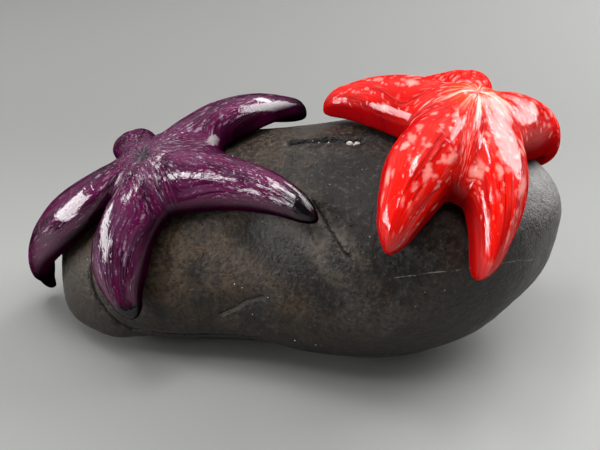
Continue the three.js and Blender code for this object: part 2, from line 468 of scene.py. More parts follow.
def smooth_closed(piece: bpy.types.Object, merge: float = 0.0) -> None:
    """Merges doubled points, turns the faces outwards and shades them smooth.

    Args:
        piece: The piece to close.
        merge: How near two points are one, in metres; 0 leaves them.
    """
    shell = bmesh.new()
    shell.from_mesh(piece.data)
    if merge > 0:
        bmesh.ops.remove_doubles(shell, verts=shell.verts[:], dist=merge)
    bmesh.ops.recalc_face_normals(shell, faces=shell.faces[:])
    for face in shell.faces:
        face.smooth = True
    shell.to_mesh(piece.data)
    shell.free()
    piece.data.update()


def rest_on(piece: bpy.types.Object, points: np.ndarray) -> tuple[np.ndarray, np.ndarray]:
    """Finds the places of a piece's skin that lie nearest to points.

    Args:
        piece: The piece.
        points: The points, in millimetres in the frame.

    Returns:
        The places, in millimetres, and the skin's normals there.
    """
    found = [piece.closest_point_on_mesh(Vector(point) * MM) for point in points.tolist()]
    return np.array([tuple(row[1]) for row in found]) / MM, np.array([tuple(row[2]) for row in found])


def settle_in(piece: bpy.types.Object, slot: Slot, *nodes: str) -> None:
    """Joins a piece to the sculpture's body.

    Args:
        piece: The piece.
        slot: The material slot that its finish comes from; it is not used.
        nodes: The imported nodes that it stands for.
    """
    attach(piece, "root")
    if nodes:
        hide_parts(*nodes)
    log.info("%s: %d faces, stands for %s", piece.name, len(piece.data.polygons), nodes or "nothing")


# ---------------------------------------------------------------- finishes


def new_material(name: str) -> tuple[bpy.types.Material, Sheet, bpy.types.Node]:
    """Starts a material.

    Args:
        name: The material's name.

    Returns:
        The material, its sheet and its Principled shader.
    """
    material = bpy.data.materials.new(name)
    material.use_nodes = True
    material.node_tree.nodes.clear()
    sheet = Sheet(material.node_tree)
    shader = sheet.node("ShaderNodeBsdfPrincipled")
    sheet.node("ShaderNodeOutputMaterial", None, {"Surface": shader["BSDF"]})
    return material, sheet, shader.node


@dataclass(frozen=True)
class Mottle:
    """The stone's four patterns, from the widest to the finest, each mostly from 0.3 to 0.7."""

    clouds: Wire
    rust: Wire
    blotches: Wire
    grain: Wire


@dataclass(frozen=True)
class StoneFinish:
    """Dark fine-grained stone, worn smooth, brown at the narrow end, with a soft sheen.

    Sizes, ends and widths are millimetres. A stray is how far a pattern moves the edge of a wash,
    and a fade on a pattern picks how much of it shows.
    """

    name: str = "water_worn_stone"
    dark: Colour = (0.0046, 0.0037, 0.0033)
    grey: Colour = (0.0265, 0.022, 0.0194)
    pale: Colour = (0.108, 0.097, 0.089)
    brown: Colour = (0.083, 0.052, 0.028)
    quartz: Colour = (0.3, 0.27, 0.24)
    void: Colour = (0.0018, 0.0017, 0.0016)
    cloud_size: float = 34
    rust_size: float = 19
    blotch_size: float = 9
    grain_size: float = 2.6
    speck_size: float = 2.8
    narrow_end: float = -75
    broad_end: float = 150
    pale_end: Pair = (100, 145)
    painted_shade_top: Pair = (96, 116)
    painted_shade_foot: Pair = (72, 16)
    rust_stray: float = 220
    pale_stray: float = 90
    top_stray: float = 40
    foot_stray: float = 30
    hollow_shade_depths: Pair = (0.3, 3.2)
    crack_width: float = 4.4
    crease_width: float = 0.9
    seam_width: float = 1.2
    scar_width: float = 0.8
    vein_width: float = 0.45
    relief_depth: float = 0.48
    gloss: float = 0.35
    smoothest: float = 0.34
    roughest: float = 0.85

    def material(self) -> bpy.types.Material:
        """Builds the stone's material, which reads Object coordinates and the stone's own lines."""
        material, sheet, shader = new_material(self.name)
        place = sheet.place()
        mottle = Mottle(
            clouds=sheet.noise(place, self.cloud_size, 5, 0.6, 0.4, seed=1.0)["Fac"],
            rust=sheet.noise(place, self.rust_size, 4, 0.6, 0.8, seed=2.0)["Fac"],
            blotches=sheet.noise(place, self.blotch_size, 5, 0.65, 0.6, seed=5.0)["Fac"],
            grain=sheet.noise(place, self.grain_size, 3, 0.7, seed=9.0)["Fac"],
        )
        colour = self.weathered_and_shaded(sheet, place, mottle)

        specks = sheet.cells(place, self.speck_size)
        chance, spread, _ = sheet.parts(specks["Color"])
        # Pale specks, partly painted glints, and black specks.
        pale_specks_and_glints = specks["Distance"].fade(0.12 + spread * 0.2, 0.04) * chance.fade(0.78, 0.88)
        black = specks["Distance"].fade(0.16 + spread * 0.25, 0.05) * chance.fade(0.2, 0.12)
        colour = sheet.washed(colour, ((pale_specks_and_glints, 0.6, self.pale), (black, 0.8, self.void)))

        colour, cut = self.lined(sheet, mottle, colour)
        sheen = 0.5 + (mottle.blotches - 0.5) * 0.5 + (mottle.grain - 0.5) * 0.5
        relief = mottle.grain * 1.6 + mottle.blotches * 1.6 + pale_specks_and_glints * 0.4 - black * 0.8 - cut
        sheet.feed(shader, {
            "Base Color": colour,
            "Roughness": sheen.most(self.smoothest).least(self.roughest),
            "Normal": sheet.relief(relief, self.relief_depth),
            "Specular IOR Level": self.gloss,
        })
        return material

    def weathered_and_shaded(self, sheet: Sheet, place: Wire, mottle: Mottle) -> Wire:
        """Colours the body of the stone: warm where it rusted, pale at the broad end and in blotches, with
        painted light along the ridge and in the pale grain, and painted shade in the hollows, over the top
        and at the foot.

        Args:
            sheet: The sheet that it is drawn on.
            place: The place on the stone.
            mottle: The stone's patterns.

        Returns:
            The colour.
        """
        along, _, height = sheet.parts(place)
        strays = mottle.clouds - 0.5
        patches = mottle.blotches - 0.5
        ridge = self.nearness(sheet, "ridge")
        warmth = (along + strays * self.rust_stray).fade(self.broad_end, self.narrow_end)
        # Painted shade darkens the worn hollows, with less of it on the ridge.
        hollow = sheet.read("hollowed")["Fac"].fade(*self.hollow_shade_depths) * (1 - ridge) * 0.88
        # Paler at the broad end and in some blotches, and painted light along the ridge.
        worn = (along + strays * self.pale_stray).fade(*self.pale_end) * 0.6
        worn = worn + mottle.blotches.fade(0.48, 0.75) * 0.3
        worn = worn + ridge * (0.1 + mottle.rust.fade(0.4, 0.6) * 0.25)
        # Painted shade darkens the top of the stone.
        top = (height + patches * self.top_stray).fade(*self.painted_shade_top)
        # Painted shade darkens the foot of the stone, near the floor.
        low = (height + (patches + strays) * self.foot_stray).fade(*self.painted_shade_foot)
        return sheet.washed(self.dark, (
            (mottle.clouds.fade(0.3, 0.6), 1.0, self.grey),
            (warmth * mottle.rust.fade(0.3, 0.6), 0.85, self.brown),
            ((mottle.blotches.fade(0.47, 0.3) * 0.5).most(hollow), 1.0, self.dark),
            (worn, 1.0, self.pale),
            (top, 0.45, self.dark),
            (low, 0.78, self.dark),
            (mottle.grain.fade(0.52, 0.4), 0.65, self.dark),
            # Pale grain, partly painted glints, fewer in the painted shade at the foot.
            (mottle.grain.fade(0.54, 0.7), 0.42 - low * 0.25, self.pale),
        ))

    def lined(self, sheet: Sheet, mottle: Mottle, colour: Wire) -> tuple[Wire, Wire]:
        """Darkens the stone's crack, crease, seam and scar with painted shade, and draws their edges and the
        vein.

        Args:
            sheet: The sheet that they are drawn on.
            mottle: The stone's patterns.
            colour: The colour so far.

        Returns:
            The colour, and how deep the lines cut into the relief.
        """
        fine = mottle.grain - 0.5
        ragged = fine * 2.5 + (mottle.blotches - 0.5) * 3.5
        # The dark insides of the crack, crease, seam and scar are painted shade.
        crack = self.cleft(sheet, "crack", ragged, self.crack_width)
        smudge = mottle.blotches.fade(0.56, 0.42) * mottle.grain.fade(0.6, 0.47)
        smudge = self.nearness(sheet, "crack") * smudge
        shaded_clefts = self.cleft(sheet, "crease", ragged, self.crease_width)
        shaded_clefts = shaded_clefts.most(self.cleft(sheet, "seam", ragged, self.seam_width))
        shaded_clefts = shaded_clefts.most(self.cleft(sheet, "scar", ragged, self.scar_width) * 0.6)
        scar_edge = self.cleft(sheet, "scar", ragged + self.scar_width * 2, 0.9)
        seam_edge = self.cleft(sheet, "seam", ragged - self.seam_width * 2, 0.8)
        vein = self.cleft(sheet, "vein", fine * 1.2, self.vein_width) * mottle.blotches.fade(0.4, 0.56)
        colour = sheet.washed(colour, (
            (crack.most(smudge).most(shaded_clefts * 0.85), 1.0, self.void),
            (scar_edge.most(seam_edge * 0.5), 0.28, self.pale),
            (vein, 0.55, self.quartz),
        ))
        return colour, crack * 3 + shaded_clefts * 1.5

    @staticmethod
    def nearness(sheet: Sheet, name: str) -> Wire:
        """Reads how near a line lies, from 1 on the line to 0 away from it."""
        return sheet.parts(sheet.read(name)["Vector"])[2]

    @staticmethod
    def cleft(sheet: Sheet, name: str, ragged: Wire, width: float) -> Wire:
        """Draws the inside of a cleft, which the crack, crease, seam and scar darken as painted shade.

        Args:
            sheet: The sheet that it is drawn on.
            name: The stone's line attribute: offset, share of the line's length, and nearness.
            ragged: How far the cleft strays to one side, in millimetres.
            width: How far from its middle line it is dark.

        Returns:
            The darkness, from 0 to 1.
        """
        off, _, near = sheet.parts(sheet.read(name)["Vector"])
        return abs(off + ragged).fade(width, width * 0.25) * near


@dataclass(frozen=True)
class QuartzFinish:
    """Quartz, milky in places and stained in others."""

    name: str
    milk: Colour
    stain: Colour
    haze_size: float = 2.2
    stained_from: Pair = (0.4, 0.65)
    smoothest: float = 0.25
    dulled: float = 0.35
    scatter_weight: float = 0.2
    scatter_radius: Colour = (1.0, 0.9, 0.8)
    scatter_depth: float = 0.6
    relief_depth: float = 0.3

    def material(self) -> bpy.types.Material:
        """Builds the quartz's material."""
        material, sheet, shader = new_material(self.name)
        haze = sheet.noise(sheet.place(), self.haze_size, 3, 0.6)["Fac"]
        sheet.feed(shader, {
            "Base Color": sheet.tint(haze.fade(*self.stained_from), self.milk, self.stain),
            "Roughness": self.smoothest + haze * self.dulled,
            "Subsurface Weight": self.scatter_weight,
            "Subsurface Radius": self.scatter_radius,
            "Subsurface Scale": self.scatter_depth * MM,
            "Normal": sheet.relief(haze, self.relief_depth),
        })
        return material


@dataclass(frozen=True)
class GlassFinish:
    """Coloured glass with pulled threads and soft flecks of pale frit below a polished surface.

    Sizes in threes are around the arm, twice, and along it. Each layer of flecks has its size as a
    share of the largest flecks, its strength and its seed.
    """

    name: str
    shadow: Colour
    core: Colour
    glow: Colour
    thread: Colour
    frit: Colour
    heart: Colour
    heart_thread: Colour
    tip: Colour
    thread_size: Pair
    fleck_size: Pair
    thread_cover: float
    fleck_cover: float
    haze_cover: float
    heart_reach: float
    ray_fineness: float
    scatter_weight: float
    scatter_radius: Colour
    scatter_depth: float
    tip_from: float
    streak_weight: float
    side_shadow: float = 0.45
    tip_stray: float = 0.3
    tip_fade: float = 0.14
    swirl_size: float = 26
    swirl_reach: float = 2.5
    band_size: Point = (5.0, 5.0, 34.0)
    haze_size: Point = (7.0, 7.0, 13.0)
    fleck_layers: tuple[Point, ...] = ((1.0, 0.95, 1.0), (0.6, 0.6, 2.0), (0.38, 0.5, 3.0))
    ripple_size: Point = (3.6, 3.6, 6.5)
    dimple_size: Point = (1.7, 1.7, 2.6)
    relief_depth: float = 0.17
    roughness: float = 0.03
    coat: float = 0.15
    coat_roughness: float = 0.02

    def material(self) -> bpy.types.Material:
        """Builds the glass's material, which reads how far and around which arm each point lies."""
        material, sheet, shader = new_material(self.name)
        pull = sheet.read("pull")["Vector"]
        reached, crest, dusted = sheet.parts(sheet.read("lay")["Vector"])
        swirled = sheet.shift(pull, sheet.stray(pull, self.swirl_size, self.swirl_reach, 2, 3.0))
        width, length = self.thread_size
        threads = sheet.noise(swirled, (width, width, length), 2, seed=4.0)["Fac"]
        hairs = sheet.noise(swirled, (width / 2, width / 2, length * 0.8), 1, seed=6.0)["Fac"]
        lines = sheet.noise(swirled, (width * 0.7, width * 0.7, length * 3), 2, seed=18.0)["Fac"]
        bands = sheet.noise(swirled, self.band_size, 2, seed=8.0)["Fac"]
        clouds = sheet.noise(swirled, self.haze_size, 2, seed=12.0)["Fac"]

        cover = crest.fade(0.22, 0.9) * (0.3 + dusted * 0.7) * (1 - reached.fade(0.5, 0.95) * 0.6)
        haze = clouds.fade(0.62 - self.haze_cover * 0.3, 0.72) * cover
        pale = threads.fade(0.66 - self.thread_cover * 0.2, 0.74)
        pale = pale + hairs.fade(0.53, 0.68) * self.thread_cover * 0.6
        colour = sheet.washed(self.core, (
            (bands.fade(0.36, 0.62), 1.0, self.glow),
            (lines.fade(0.47, 0.36), self.streak_weight, self.shadow),
            (crest.fade(0.75, 0.2), self.side_shadow, self.shadow),
            (haze, 0.5, self.thread),
            (pale.least(1.0), 0.03 + cover * 0.9, self.thread),
        ))
        for size, strength, seed in self.fleck_layers:
            flecks = self.flecks(sheet, swirled, size, cover, seed)
            colour = sheet.tint(flecks * strength, colour, self.frit)
        colour = self.rayed(sheet, pull, colour)
        ending = reached + (bands - 0.5) * self.tip_stray
        ending = ending.fade(self.tip_from, self.tip_from + self.tip_fade)
        colour = sheet.tint(ending, colour, self.tip)

        ripples = sheet.noise(pull, self.ripple_size, 1, seed=14.0)["Fac"]
        dimples = sheet.noise(swirled, self.dimple_size, 1, seed=17.0)["Fac"].fade(0.55, 0.75)
        relief = hairs * 0.25 + threads * 0.4 + ripples * 1.3 - dimples * 0.5
        self.polish(material, sheet, shader, colour, sheet.relief(relief, self.relief_depth), crest, hairs)
        return material

    def rayed(self, sheet: Sheet, pull: Wire, colour: Wire) -> Wire:
        """Draws the rays of the disc's heart.

        Args:
            sheet: The sheet that they are drawn on.
            pull: The place around and along the arm.
            colour: The colour so far.

        Returns:
            The colour.
        """
        along = sheet.parts(pull)[2]
        sockets = {0: sheet.stretch(pull, (1, 1, 0))}
        around = sheet.node("ShaderNodeVectorMath", {"operation": "NORMALIZE"}, sockets)["Vector"]
        rays = sheet.noise(around, 1 / self.ray_fineness, 2, seed=16.0)["Fac"]
        heart = (along + (0.5 - rays) * self.heart_reach).fade(self.heart_reach, self.heart_reach * 0.4)
        return sheet.tint(heart, colour, sheet.tint(rays.fade(0.5, 0.58), self.heart, self.heart_thread))

    def flecks(self, sheet: Sheet, pull: Wire, size: float, cover: Wire, seed: float) -> Wire:
        """Draws soft oval flecks of frit that lie along the pull of the glass.

        Args:
            sheet: The sheet that they are drawn on.
            pull: The place around and along the arm.
            size: Their size as a share of the finish's own.
            cover: How much of the glass they may cover.
            seed: Which of the many such layers it is.

        Returns:
            How strongly a fleck shows, from 0 to 1.
        """
        width, length = (value * size for value in self.fleck_size)
        bent = sheet.shift(pull, sheet.stray(pull, width * 1.3, width * 1.1, 2, seed))
        drawn = sheet.in_sizes(bent, (width, width, length))
        cells = sheet.cells(sheet.shift(drawn, (seed * 7, seed * 3, seed * 5)), 1.0)
        chance, spread, _ = sheet.parts(cells["Color"])
        reach = 0.2 + spread * 0.35
        oval = cells["Distance"].fade(reach, reach * 0.35)
        return oval * (cover * self.fleck_cover * 1.6 - chance).fade(0.0, 0.15)

    def polish(self, material: bpy.types.Material, sheet: Sheet, shader: bpy.types.Node, colour: Wire,
               bump: Wire, crest: Wire, hairs: Wire) -> None:
        """Gives the glass its fire-polished top, and where it turns away a matt copy whose colour is
        darkened as painted shade.

        Args:
            material: The glass's material.
            sheet: The sheet that it is drawn on.
            shader: The polished glass's shader.
            colour: The glass's colour.
            bump: Its normal.
            crest: How near the arm's upper middle line a point lies.
            hairs: The finest threads, which dull the polish a little.
        """
        matt = sheet.node("ShaderNodeBsdfPrincipled")
        # The matt copy's colour is tinted towards the shadow colour: painted shade on the lower sides and
        # where the glass turns from view.
        for glass, body in ((shader, colour), (matt.node, sheet.tint(0.55, colour, self.shadow))):
            sheet.feed(glass, {
                "Base Color": body,
                "Normal": bump,
                "Subsurface Weight": self.scatter_weight,
                "Subsurface Radius": self.scatter_radius,
                "Subsurface Scale": self.scatter_depth * MM,
            })
        sheet.feed(matt.node, {"Specular IOR Level": 0.0})
        sheet.feed(shader, {
            "Roughness": self.roughness + hairs * 0.05,
            "Coat Weight": self.coat,
            "Coat Roughness": self.coat_roughness,
        })
        turned = sheet.node("ShaderNodeLayerWeight", None, {"Blend": 0.5})["Facing"]
        polished = crest.fade(0.1, 0.6) * turned.fade(0.8, 0.35)
        sockets = {0: polished, 1: matt["BSDF"], 2: Made(sheet, shader)["BSDF"]}
        mixed = sheet.node("ShaderNodeMixShader", None, sockets)["Shader"]
        sheet.feed(material.node_tree.get_output_node("ALL"), {"Surface": mixed})


MILKY_QUARTZ = QuartzFinish("milky_quartz", (0.55, 0.51, 0.46), (0.2, 0.16, 0.12))
STAINED_QUARTZ = QuartzFinish("stained_quartz", (0.36, 0.33, 0.3), (0.09, 0.075, 0.06))

PURPLE_GLASS = GlassFinish(
    name="purple_cased_glass",
    shadow=(0.005, 0.0007, 0.0033),
    core=(0.027, 0.0007, 0.0125),
    glow=(0.095, 0.0014, 0.042),
    thread=(0.11, 0.04, 0.088),
    frit=(0.26, 0.175, 0.24),
    heart=(0.024, 0.007, 0.018),
    heart_thread=(0.085, 0.05, 0.08),
    tip=(0.003, 0.0012, 0.003),
    thread_size=(0.95, 26.0),
    fleck_size=(1.4, 10.0),
    thread_cover=0.85,
    fleck_cover=0.42,
    haze_cover=0.6,
    heart_reach=7.0,
    ray_fineness=4.0,
    scatter_weight=0.25,
    scatter_radius=(1.0, 0.25, 0.7),
    scatter_depth=4.0,
    tip_from=0.78,
    streak_weight=0.7,
)

RED_GLASS = GlassFinish(
    name="red_cased_glass",
    shadow=(0.17, 0.0015, 0.0035),
    core=(0.5, 0.0022, 0.0013),
    glow=(0.75, 0.006, 0.0015),
    thread=(0.76, 0.085, 0.068),
    frit=(0.82, 0.31, 0.27),
    heart=(0.6, 0.045, 0.005),
    heart_thread=(0.83, 0.42, 0.32),
    tip=(0.5, 0.0025, 0.0013),
    thread_size=(1.1, 18.0),
    fleck_size=(4.4, 11.0),
    thread_cover=0.5,
    fleck_cover=0.66,
    haze_cover=0.25,
    heart_reach=19.0,
    ray_fineness=3.2,
    scatter_weight=0.85,
    scatter_radius=(1.0, 0.08, 0.05),
    scatter_depth=14.0,
    tip_from=0.86,
    streak_weight=0.65,
)


# ---------------------------------------------------------------- the stone


@dataclass(frozen=True)
class Hollow:
    """A worn hollow along a straight line, which fades over its width and only cuts inwards."""

    start: Point
    end: Point
    width: float
    depth: float

    def cut(self, points: np.ndarray) -> np.ndarray:
        """Measures the hollow.

        Args:
            points: One row for each point.

        Returns:
            How deep the hollow is at each point.
        """
        start, end = np.array(self.start), np.array(self.end)
        run = end - start
        share = np.clip((points - start) @ run / (run @ run), 0, 1)
        distance = np.linalg.norm(points - (start + share[..., None] * run), axis=-1)
        return self.depth * np.exp(-((distance / self.width) ** 2))


@dataclass(frozen=True)
class Line:
    """A thin line over the stone's skin, such as a crack or a vein.

    Its groove wanders from side to side, and its nearness is how far to either side it is felt.
    """

    name: str
    points: tuple[Point, ...]
    groove: float = 0.0
    groove_width: float = 1.2
    wander: float = 1.0
    nearness: float = 5.0


STONE_HOLLOWS = (
    Hollow((24, -30, 117), (46, -80, 86), width=20, depth=5),
    Hollow((8, -50, 102), (46, -84, 72), width=7, depth=3),
    Hollow((-24, -48, 88), (16, -77, 65), width=13, depth=3.5),
    Hollow((-88, -50, 6), (-20, -58, 6), width=13, depth=5),
    Hollow((-39, -59, 47), (-23, -64, 52), width=6, depth=1.5),
    Hollow((134, -50, 76), (124, -52, 44), width=24, depth=4),
    Hollow((-18, 96, 40), (6, 70, 104), width=26, depth=6),
)

VEIN = Line("vein", (
    (47, -77, 78), (52, -79, 80), (64, -80, 83), (78, -79, 84), (92, -75, 85), (112, -66, 81),
    (126, -52, 73),
))

STONE_LINES = (
    VEIN,
    Line("crack", (
        (-8, 5, 114), (1, 4, 116), (11, 2, 117), (22, 0, 119), (30, -4, 120), (38, -6, 120),
    ), groove=3.0, groove_width=3.0, wander=5.5, nearness=12),
    Line("crease", (
        (7, -41, 103), (14, -51, 96), (16, -57, 94), (20, -63, 91), (23, -69, 88), (27, -72, 86),
    ), groove=1.0, groove_width=1.3, wander=2.0),
    Line("seam", (
        (-118, -30, 56), (-118, -34, 47), (-115, -39, 38), (-109, -43, 31), (-102, -46, 25),
        (-95, -48, 22), (-75, -52, 22), (-45, -57, 24), (-14, -61, 27),
    ), groove=1.6, groove_width=1.9, wander=1.5),
    Line("scar", (
        (-43, -56, 40), (-36, -58, 45), (-26, -60, 52), (-17, -64, 57),
    ), groove=0.6, groove_width=1.5, wander=4.0, nearness=7),
    # The ridge has no groove: it carries only painted light along it, and keeps the painted shade out of the
    # hollows there.
    Line("ridge", (
        (-3, -38, 103), (11, -57, 93), (23, -73, 80), (39, -81, 61), (50, -82, 46),
    ), nearness=15),
)


@dataclass
class Stone:
    """The water-worn stone.

    Each pair is a value at the narrow left end and at the broad right end. Crack grains have a place
    and a size, and the sizes of the small grains lie between two values.
    """

    half_length: float = 150
    end_roundness: Pair = (2.7, 2.5)
    middle_y: Pair = (20, -2)
    half_depth: Pair = (79, 86)
    top_height: Pair = (110, 125)
    belly_height: Pair = (18, 82)
    upper_roundness: float = 2.1
    lower_roundness: float = 2.7
    upper_blend: Pair = (-55, 65)
    lower_blend: Pair = (-126, 100)
    sunk: float = 2.5
    heart: Point = (0, 8, 58)
    fineness: int = 88
    path_steps: int = 12
    line_end: float = 0.06
    vein_points: int = 160
    vein_stretches: int = 60
    vein_stretch: tuple[int, int] = (1, 9)
    vein_swell: Pair = (-1.1, 1.0)
    vein_sides: int = 7
    crack_grains: tuple[tuple[float, ...], ...] = (
        (28.5, -6, 119, 2.0), (33, -5.5, 120, 1.9), (31, -8, 119, 0.9), (12, 1, 118, 0.6),
        (17, -1, 118, 0.5),
    )
    small_grains: int = 55
    small_sizes: Pair = (0.22, 0.5)
    grain_way: Point = (0.0, -0.3, 0.5)
    grain_stretch: Point = (1.0, 0.85, 0.85)
    lowest_grain: float = 12
    shift: np.ndarray = field(default_factory=lambda: np.zeros(3))

    def level(self, points: np.ndarray) -> np.ndarray:
        """Tells inside from outside.

        Args:
            points: One row for each point.

        Returns:
            Negative values inside the unworn stone, 0 on its skin and positive outside.
        """
        x, y, z = points[..., 0], points[..., 1], points[..., 2]
        upper = smoothstep(x, *self.upper_blend)
        lower = smoothstep(x, *self.lower_blend)
        belly = mix(*self.belly_height, lower)
        above = z > belly
        height = np.where(above, mix(*self.top_height, upper) - belly, belly + self.sunk)
        across = np.abs(y - mix(*self.middle_y, upper)) / mix(*self.half_depth, upper)
        up = np.abs(z - belly) / height
        along = np.abs(x) / self.half_length
        k = np.where(above, self.upper_roundness, self.lower_roundness)
        n = np.where(x > 0, self.end_roundness[1], self.end_roundness[0])
        section = (across**k + up**k) ** (1 / k)
        return (along**n + section**n) ** (1 / n) - 1

    def slope(self, points: np.ndarray) -> np.ndarray:
        """Gives the direction and rate in which the level rises."""
        steps = np.eye(3) / 2
        return np.stack([self.level(points + step) - self.level(points - step) for step in steps], axis=-1)

    def settle(self, points: np.ndarray) -> np.ndarray:
        """Moves nearby points onto the unworn skin, straight along the slope."""
        slope = self.slope(points)
        return points - slope * (self.level(points) / np.sum(slope * slope, axis=-1))[..., None]

    def skin(self, ways: np.ndarray) -> np.ndarray:
        """Finds where straight ways out from the heart leave the unworn stone.

        Args:
            ways: One direction of length 1 in each row.

        Returns:
            One point on the skin in each row.
        """
        def inside(distance: np.ndarray) -> np.ndarray:
            """Tells which ways are still inside at their distance."""
            return self.level(self.heart + ways * distance[:, None]) < 0

        reach = border(inside, np.zeros(len(ways)), np.full(len(ways), 2.0 * self.half_length))
        return self.heart + ways * reach[:, None]

    def top_at(self, x: float, y: float) -> np.ndarray:
        """Gives the unworn skin's upper point over a place on the ground."""
        height = border(lambda z: self.level(np.array((x, y, z))) < 0, self.heart[2], 2 * self.half_length)
        return np.array((x, y, height))

    def path(self, line: Line) -> np.ndarray:
        """Lays a line on the unworn skin.

        Args:
            line: The line.

        Returns:
            Close points along it.
        """
        knots = np.array(line.points, float)
        places = np.arange((len(knots) - 1) * self.path_steps + 1) / self.path_steps
        spread = [np.interp(places, np.arange(len(knots)), knots[:, axis]) for axis in range(3)]
        return self.settle(self.settle(np.stack(spread, axis=-1)))

    def trace(self, line: Line, feet: np.ndarray) -> np.ndarray:
        """Measures where points on the unworn skin lie beside a line.

        Args:
            line: The line.
            feet: The points.

        Returns:
            For each point its offset across the line, with a sign for the side, the share of the
            line's length, and its nearness, from 1 on the line to 0 away from it.
        """
        path = self.path(line)
        found = np.zeros((len(feet), 3))
        found[:, 0] = line.nearness
        box_low, box_high = path.min(0) - line.nearness, path.max(0) + line.nearness
        close = np.flatnonzero(np.all((feet > box_low) & (feet < box_high), axis=1))
        points = feet[close]
        starts, runs = path[:-1], path[1:] - path[:-1]
        gaps = points[:, None, :] - starts[None]
        share = np.clip(np.sum(gaps * runs, axis=2) / np.sum(runs * runs, axis=1), 0, 1)
        off = gaps - share[..., None] * runs
        distance = np.linalg.norm(off, axis=2)
        best = np.argmin(distance, axis=1)
        rows = np.arange(len(points))
        normals = unit(self.slope(points))
        side = np.sign(np.sum(np.cross(runs[best], off[rows, best]) * normals, axis=1))
        nearest = distance[rows, best]
        part = (best + share[rows, best]) / len(runs)
        ends = smoothstep(part, 0.0, self.line_end) * smoothstep(part, 1.0, 1 - self.line_end)
        found[close, 0] = nearest * np.where(side == 0, 1, side)
        found[close, 1] = part
        found[close, 2] = smoothstep(nearest, line.nearness, line.nearness / 2) * ends
        return found

    def build(self, finish: StoneFinish) -> bpy.types.Object:
        """Makes the worn stone as one fine closed skin.

        Args:
            finish: The stone's finish.

        Returns:
            The stone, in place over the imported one.
        """
        ways, faces = geodesic(self.fineness)
        spread = np.array((self.half_length, self.half_depth[0], self.heart[2]))
        feet = self.skin(unit(ways * spread))
        depth = sum(hollow.cut(feet) for hollow in STONE_HOLLOWS)
        values = {"hollowed": depth}
        for line in STONE_LINES:
            values[line.name] = self.trace(line, feet)
        points = feet - unit(self.slope(feet)) * depth[:, None]
        points[:, 2] = np.maximum(points[:, 2], 0)
        middle = np.array(STONE_LOW + STONE_HIGH) / 2 / MM
        self.shift = middle - (points.min(0) + points.max(0)) / 2
        self.shift[2] = 0
        piece = new_piece("worn_stone", points + self.shift, faces, values)
        smooth_closed(piece)
        self.weathering(finish.material()).run(piece)
        return piece

    def weathering(self, material: bpy.types.Material) -> Jig:
        """Draws the jig that wears lumps, pits and clefts into the skin, above the bed it stands on.

        Args:
            material: The stone's material.

        Returns:
            The jig.
        """
        jig = Jig("weathering")
        sheet = jig.sheet
        pit_size, pit_depth = jig.size("Pit size", 7.5), jig.size("Pit depth", 0.45)
        bed = jig.size("Bed height", 5)
        seed = jig.size("Seed", 7)
        place = jig.place()
        pits = sheet.cells(place, pit_size)
        chance, spread, _ = sheet.parts(pits["Color"])
        depth = pits["Distance"].fade(0.15 + spread * 0.3, 0.0) * chance.fade(0.55, 0.95) * pit_depth
        for name, size, height in (("Lump", 24, 1.3), ("Ripple", 6.5, 0.45)):
            waves = sheet.noise(place, jig.size(f"{name} size", size), 2, seed=seed)["Fac"]
            depth = depth + waves * jig.size(f"{name} depth", height)
        strays = sheet.noise(place, jig.size("Stray size", 5), 3, 0.6, seed=seed + 1)["Fac"] - 0.5
        for line in STONE_LINES:
            if line.groove > 0:
                groove = jig.size(f"{line.name} depth", line.groove)
                width = jig.size(f"{line.name} width", line.groove_width)
                off, _, near = sheet.parts(jig.attribute(line.name))
                depth = depth + abs(off + strays * line.wander).fade(width, 0) * near * groove
        depth = depth * sheet.parts(place)[2].fade(0.2, bed)
        jig.finish(jig.start["Geometry"], jig.outwards(-depth), material)
        return jig

    def vein(self, stone: bpy.types.Object, finish: QuartzFinish) -> bpy.types.Object:
        """Makes the broken quartz vein that stands a little proud of the worn skin.

        Args:
            stone: The worn stone.
            finish: The quartz's finish.

        Returns:
            The vein.
        """
        chance = np.random.default_rng(11)
        path = self.path(VEIN) + self.shift
        steps = np.linspace(0, len(path) - 1, self.vein_points)
        spread = [np.interp(steps, np.arange(len(path)), path[:, axis]) for axis in range(3)]
        spots, _ = rest_on(stone, np.stack(spread, axis=-1))
        turns = np.cumsum(chance.integers(*self.vein_stretch, self.vein_stretches))
        swells = chance.uniform(*self.vein_swell, self.vein_stretches)
        swell = np.maximum(np.interp(np.arange(self.vein_points), turns, swells), 0)
        edges = [(i, i + 1) for i in range(self.vein_points - 1) if min(swell[i], swell[i + 1]) > 0]
        piece = new_piece("quartz_vein", spots, [], {"swell": swell}, edges)
        jig = Jig("vein")
        sheet = jig.sheet
        width, thinnest = jig.size("Half width", 0.22), jig.size("Thinnest", 0.3)
        swelling = jig.size("Swelling", 0.8)
        rough, rough_size = jig.size("Roughness", 0.5), jig.size("Roughness size", 0.9)
        seed = jig.size("Seed", 5)
        curve = sheet.node("GeometryNodeMeshToCurve", None, {"Mesh": jig.start["Geometry"]})["Curve"]
        sockets = {"Resolution": self.vein_sides, "Radius": MM}
        ring = sheet.node("GeometryNodeCurvePrimitiveCircle", None, sockets)["Curve"]
        radius = (jig.attribute("swell", "FLOAT") * swelling + thinnest) * width
        sockets = {"Curve": curve, "Profile Curve": ring, "Scale": radius, "Fill Caps": True}
        tube = sheet.node("GeometryNodeCurveToMesh", None, sockets)["Mesh"]
        jig.finish(tube, sheet.stray(jig.place(), rough_size, rough, 2, seed), finish.material())
        jig.run(piece)
        return piece

